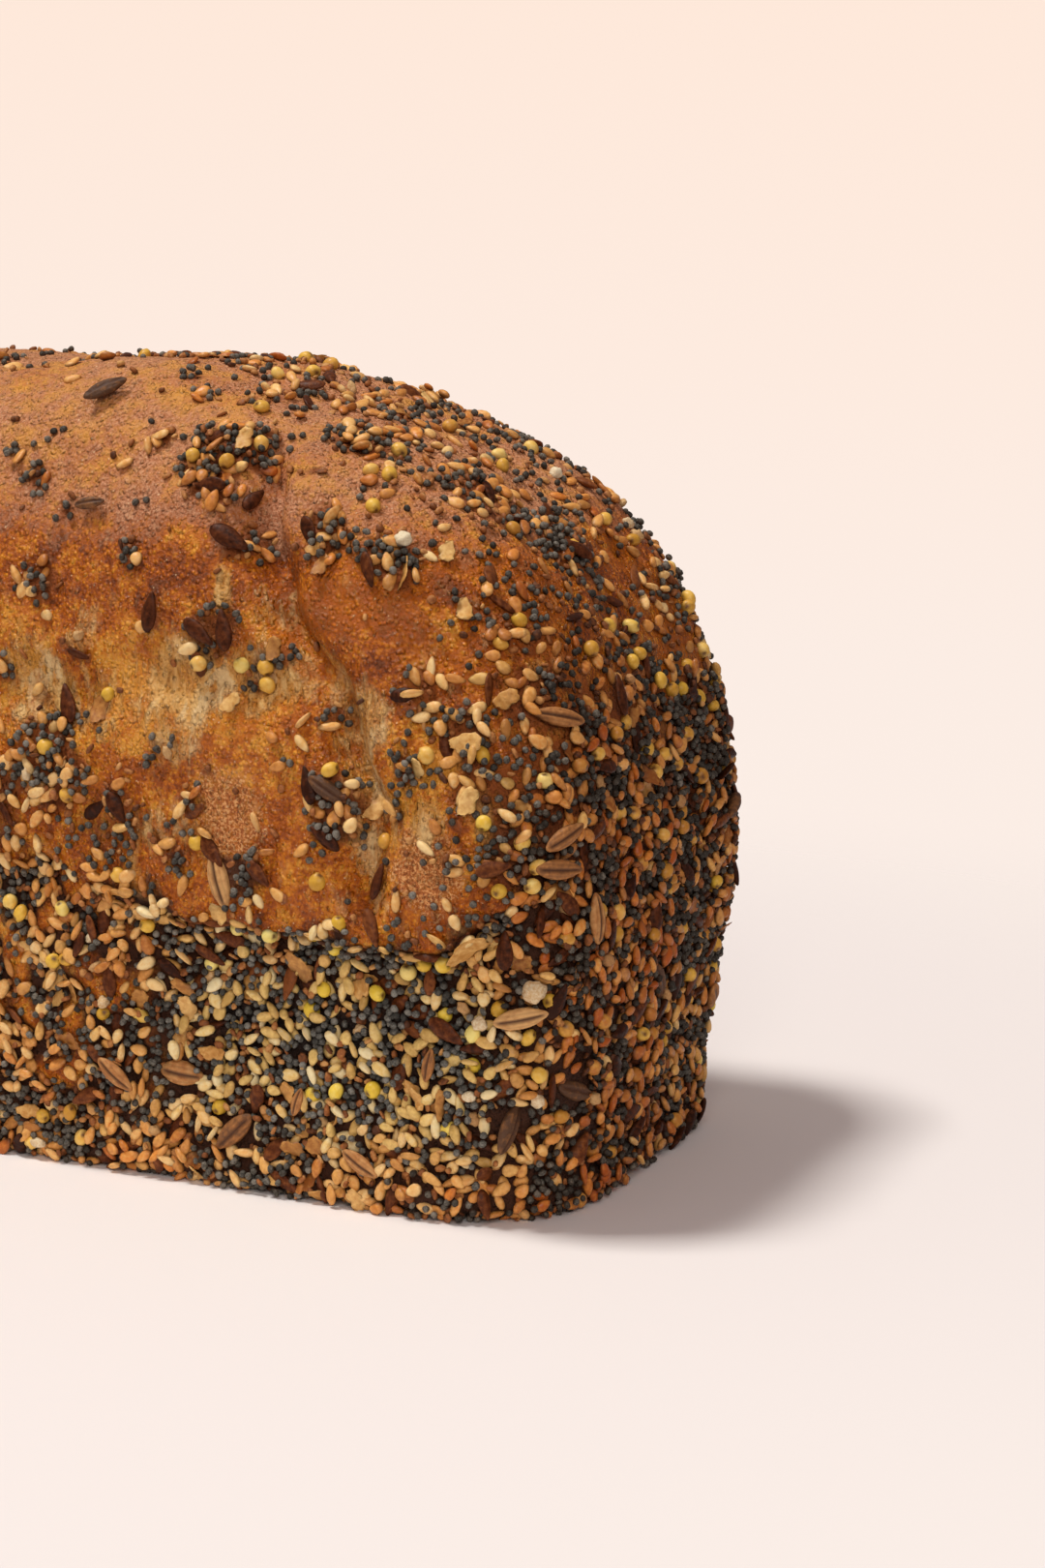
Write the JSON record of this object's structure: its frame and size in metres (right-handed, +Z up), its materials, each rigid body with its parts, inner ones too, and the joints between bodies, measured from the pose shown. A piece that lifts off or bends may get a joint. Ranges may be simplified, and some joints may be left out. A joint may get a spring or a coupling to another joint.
{
  "type": "seeded tin loaf",
  "caption": "Tall narrow bread loaf baked in a tin, with a domed blistered crust and a thick coat of mixed seeds on its sides and ends.",
  "frame": {"origin": "middle of the flat underside", "axes": "+X along the loaf, +Y across it, +Z up from the underside to the crown"},
  "size_m": [0.1999, 0.0798, 0.104],
  "materials": {
    "crust": "baked crust, golden to dark reddish brown, blistered and softly glossy",
    "poppy_seed": "matte blue-grey to black",
    "sesame_seed": "toasted tan, dull sheen",
    "millet_seed": "golden yellow, dull sheen",
    "flax_seed": "dark reddish brown, smooth and glossy",
    "kernel": "ridged brown kernel, dry",
    "crumb": "pale dry crumb and flakes of crust"
  },
  "bodies": {
    "root": {"loaf": "crust"}
  },
  "joints": []
}
